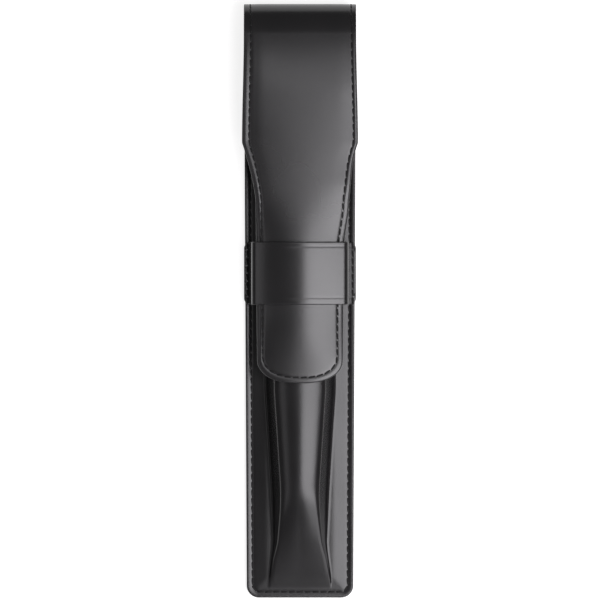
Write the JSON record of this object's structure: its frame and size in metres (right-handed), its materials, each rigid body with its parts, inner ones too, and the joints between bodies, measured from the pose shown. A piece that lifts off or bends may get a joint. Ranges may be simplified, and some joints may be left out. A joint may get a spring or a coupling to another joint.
{
  "type": "single pen sleeve",
  "caption": "Slim black leather sleeve for one pen, with a moulded pocket and a flap over the top whose tongue is tucked under a band across the front.",
  "frame": {"origin": "middle of the flat back, on the surface that the sleeve lies on", "axes": "+Z out of the front, +Y towards the fold at the top, +X to the right of someone facing the front"},
  "size_m": [0.0322, 0.165, 0.0178],
  "materials": {
    "shell_leather": "smooth black calf leather, satin",
    "front_leather": "smooth black calf leather moulded wet, satin",
    "band_leather": "smooth black calf leather, creased along its edges",
    "lining": "thin black lining leather, matte",
    "thread": "waxed black thread"
  },
  "bodies": {
    "root": {"back_panel": "shell_leather", "back_lining": "lining", "front_panel": "front_leather", "front_lining": "lining", "band": "band_leather", "band_lining": "lining", "seam_thread_left": "thread", "seam_thread_right": "thread", "seam_thread_bottom": "thread", "mouth_thread": "thread"},
    "fold": {"flap_fold": "shell_leather", "flap_fold_lining": "lining", "flap_fold_thread": "thread"},
    "shoulder": {"flap_shoulder": "shell_leather", "flap_shoulder_lining": "lining", "flap_shoulder_thread": "thread"},
    "upper": {"flap_upper": "shell_leather", "flap_upper_lining": "lining", "flap_upper_thread": "thread"},
    "lower": {"flap_lower": "shell_leather", "flap_lower_lining": "lining", "flap_lower_thread": "thread"},
    "tongue": {"flap_tongue": "shell_leather", "flap_tongue_lining": "lining", "flap_tongue_thread": "thread"}
  },
  "joints": [
    {"name": "flap_open", "type": "hinge", "parent": "root", "child": "fold", "pos_m": [0, 0.08008, 0.00242], "axis": [-1, 0, 0], "range_deg": [0, 90]},
    {"name": "fold_unroll", "type": "hinge", "parent": "fold", "child": "shoulder", "pos_m": [0, 0.08008, 0.01408], "axis": [-1, 0, 0], "range_deg": [0, 90]},
    {"name": "flap_bow", "type": "hinge", "parent": "shoulder", "child": "upper", "pos_m": [0, 0.07425, 0.0165], "axis": [1, 0, 0], "range_deg": [-85, 0]},
    {"name": "flap_knee", "type": "hinge", "parent": "upper", "child": "lower", "pos_m": [0, 0.04612, 0.0117], "axis": [1, 0, 0], "range_deg": [0, 170]},
    {"name": "tongue_bend", "type": "hinge", "parent": "lower", "child": "tongue", "pos_m": [0, 0.018, 0.0165], "axis": [1, 0, 0], "range_deg": [-85, 0]}
  ],
  "couplings": [
    {"joint": "fold_unroll", "follows": "flap_open", "ratio": 1},
    {"joint": "flap_knee", "follows": "flap_bow", "ratio": -2},
    {"joint": "tongue_bend", "follows": "flap_bow", "ratio": 1}
  ]
}
